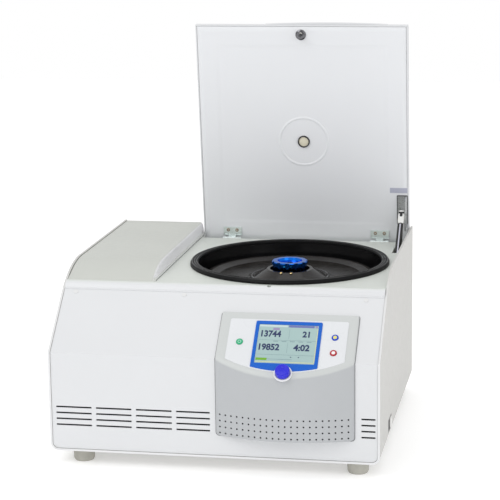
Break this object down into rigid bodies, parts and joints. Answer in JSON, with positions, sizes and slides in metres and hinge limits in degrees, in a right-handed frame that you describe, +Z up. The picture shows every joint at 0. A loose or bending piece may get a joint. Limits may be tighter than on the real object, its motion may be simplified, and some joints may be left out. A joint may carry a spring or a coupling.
{
  "type": "laboratory centrifuge",
  "caption": "Refrigerated bench centrifuge with a hinged lid on a gas spring, a deep sealed chamber with a clamped rotor, and a bulged front control panel with screen, dial and keys",
  "frame": {"origin": "centre of the footprint at bench level", "axes": "X across the width with the control panel at +X of centre, Y from the front to the back, Z up"},
  "size_m": [0.63, 0.6496, 0.795],
  "materials": {
    "casing": "fine texture",
    "casing_side": "satin",
    "deck_skin": "satin",
    "lid_skin": "satin",
    "foot_rubber": "matte",
    "stainless": "satin",
    "black_rubber": "satin",
    "foam": "matte",
    "zinc_steel": "satin",
    "ground_steel": "polished",
    "motor_alloy": "rough",
    "rotor_alloy": "hard anodised",
    "blue_anodised": "anodised",
    "brass_screws": "polished",
    "black_plastic": "matte",
    "cream_window": "gloss",
    "label_film": "satin",
    "dark_chrome": "polished",
    "black_enamel": "gloss",
    "panel_grey": "fine texture",
    "keypad_film": "satin",
    "blue_film": "gloss",
    "screen": "satin",
    "blue_plastic": "satin",
    "green_key": "satin",
    "blue_key": "satin",
    "red_key": "satin",
    "circuit_board": "satin",
    "white_plastic": "satin",
    "copper_tube": "drawn"
  },
  "bodies": {
    "chassis": {"base_tray": "casing_side", "side_panel_left": "casing_side", "side_panel_right": "casing_side", "front_panel": "casing", "deck": "deck_skin", "compressor_cover": "casing", "rear_panel": "casing_side", "foot_front_left": "foot_rubber", "foot_front_right": "foot_rubber", "foot_back_left": "foot_rubber", "foot_back_right": "foot_rubber", "chamber_bowl": "stainless", "chamber_insulation": "foam", "chamber_gasket": "black_rubber", "motor_plate": "zinc_steel", "motor_mounts": "black_rubber", "motor": "motor_alloy", "lock_receiver": "zinc_steel", "hinge_base_left": "zinc_steel", "hinge_base_right": "zinc_steel", "spring_anchor": "zinc_steel", "panel_housing": "panel_grey", "keypad": "keypad_film", "display_frame": "blue_film", "display_screen": "screen", "knob_encoder": "black_plastic", "control_board": "circuit_board", "switch_bezel": "black_plastic", "mains_inlet": "black_plastic", "compressor": "black_enamel", "condenser": "zinc_steel", "fan_frame": "black_plastic", "fan_guard": "zinc_steel", "refrigerant_pipe": "copper_tube", "screw_plugs": "casing_side"},
    "rotor": {"drive_shaft": "ground_steel", "rotor_body": "rotor_alloy", "rotor_lid": "rotor_alloy", "rotor_screws": "brass_screws"},
    "clamp_knob": {"rotor_knob": "blue_anodised"},
    "lid": {"lid_plate": "lid_skin", "lid_foam": "foam", "lid_cover": "casing", "lid_grip": "casing", "port_bezel": "black_plastic", "port_window": "cream_window", "label_plate": "label_film", "lock_bolt": "dark_chrome", "hinge_leaf_left": "zinc_steel", "hinge_leaf_right": "zinc_steel", "hinge_screws": "zinc_steel", "spring_bracket": "black_enamel"},
    "gas_rod": {"spring_rod": "ground_steel"},
    "gas_barrel": {"spring_barrel": "black_enamel"},
    "dial": {"control_knob": "blue_plastic"},
    "start_key": {"button_start": "green_key"},
    "open_key": {"button_open": "blue_key"},
    "stop_key": {"button_stop": "red_key"},
    "rocker": {"power_rocker": "white_plastic"},
    "fan": {"fan_rotor": "black_plastic"}
  },
  "joints": [
    {"name": "lid_hinge", "type": "hinge", "parent": "chassis", "child": "lid", "pos_m": [0.088, 0.28979, 0.327], "axis": [1, 0, 0], "range_deg": [0, 83]},
    {"name": "gas_rod_pivot", "type": "hinge", "parent": "chassis", "child": "gas_rod", "pos_m": [0.296, 0.05649, 0.1933], "axis": [1, 0, 0], "range_deg": [-4.66, 0]},
    {"name": "gas_barrel_slide", "type": "slide", "parent": "gas_rod", "child": "gas_barrel", "axis": [0, 0.7427, 0.6696], "range_m": [-0.086, 0]},
    {"name": "rotor_spin", "type": "hinge", "parent": "chassis", "child": "rotor", "pos_m": [0.094, 0.05379, 0.25], "axis": [0, 0, 1], "continuous": true},
    {"name": "clamp_knob_turn", "type": "hinge", "parent": "rotor", "child": "clamp_knob", "pos_m": [0.094, 0.05379, 0.32], "axis": [0, 0, 1], "range_deg": [0, 720]},
    {"name": "dial_turn", "type": "hinge", "parent": "chassis", "child": "dial", "pos_m": [0.139, -0.30758, 0.20278], "axis": [0, -0.6626, 0.749], "continuous": true},
    {"name": "start_key_press", "type": "slide", "parent": "chassis", "child": "start_key", "axis": [0, 0.6626, -0.749], "range_m": [0, 0.0008], "stiffness_N_per_m": 1500, "springref_m": -0.0004},
    {"name": "open_key_press", "type": "slide", "parent": "chassis", "child": "open_key", "axis": [0, 0.6626, -0.749], "range_m": [0, 0.0008], "stiffness_N_per_m": 1500, "springref_m": -0.0004},
    {"name": "stop_key_press", "type": "slide", "parent": "chassis", "child": "stop_key", "axis": [0, 0.6626, -0.749], "range_m": [0, 0.0008], "stiffness_N_per_m": 1500, "springref_m": -0.0004},
    {"name": "rocker_tilt", "type": "hinge", "parent": "chassis", "child": "rocker", "pos_m": [0.307, -0.11421, 0.0565], "axis": [0, 0, 1], "range_deg": [-12, 0]},
    {"name": "fan_spin", "type": "hinge", "parent": "chassis", "child": "fan", "pos_m": [-0.21, 0.26279, 0.161], "axis": [0, 1, 0], "continuous": true}
  ],
  "couplings": [
    {"joint": "gas_rod_pivot", "follows": "lid_hinge", "ratio": -0.053795},
    {"joint": "gas_barrel_slide", "follows": "lid_hinge", "m_per_rad": -0.059037}
  ]
}
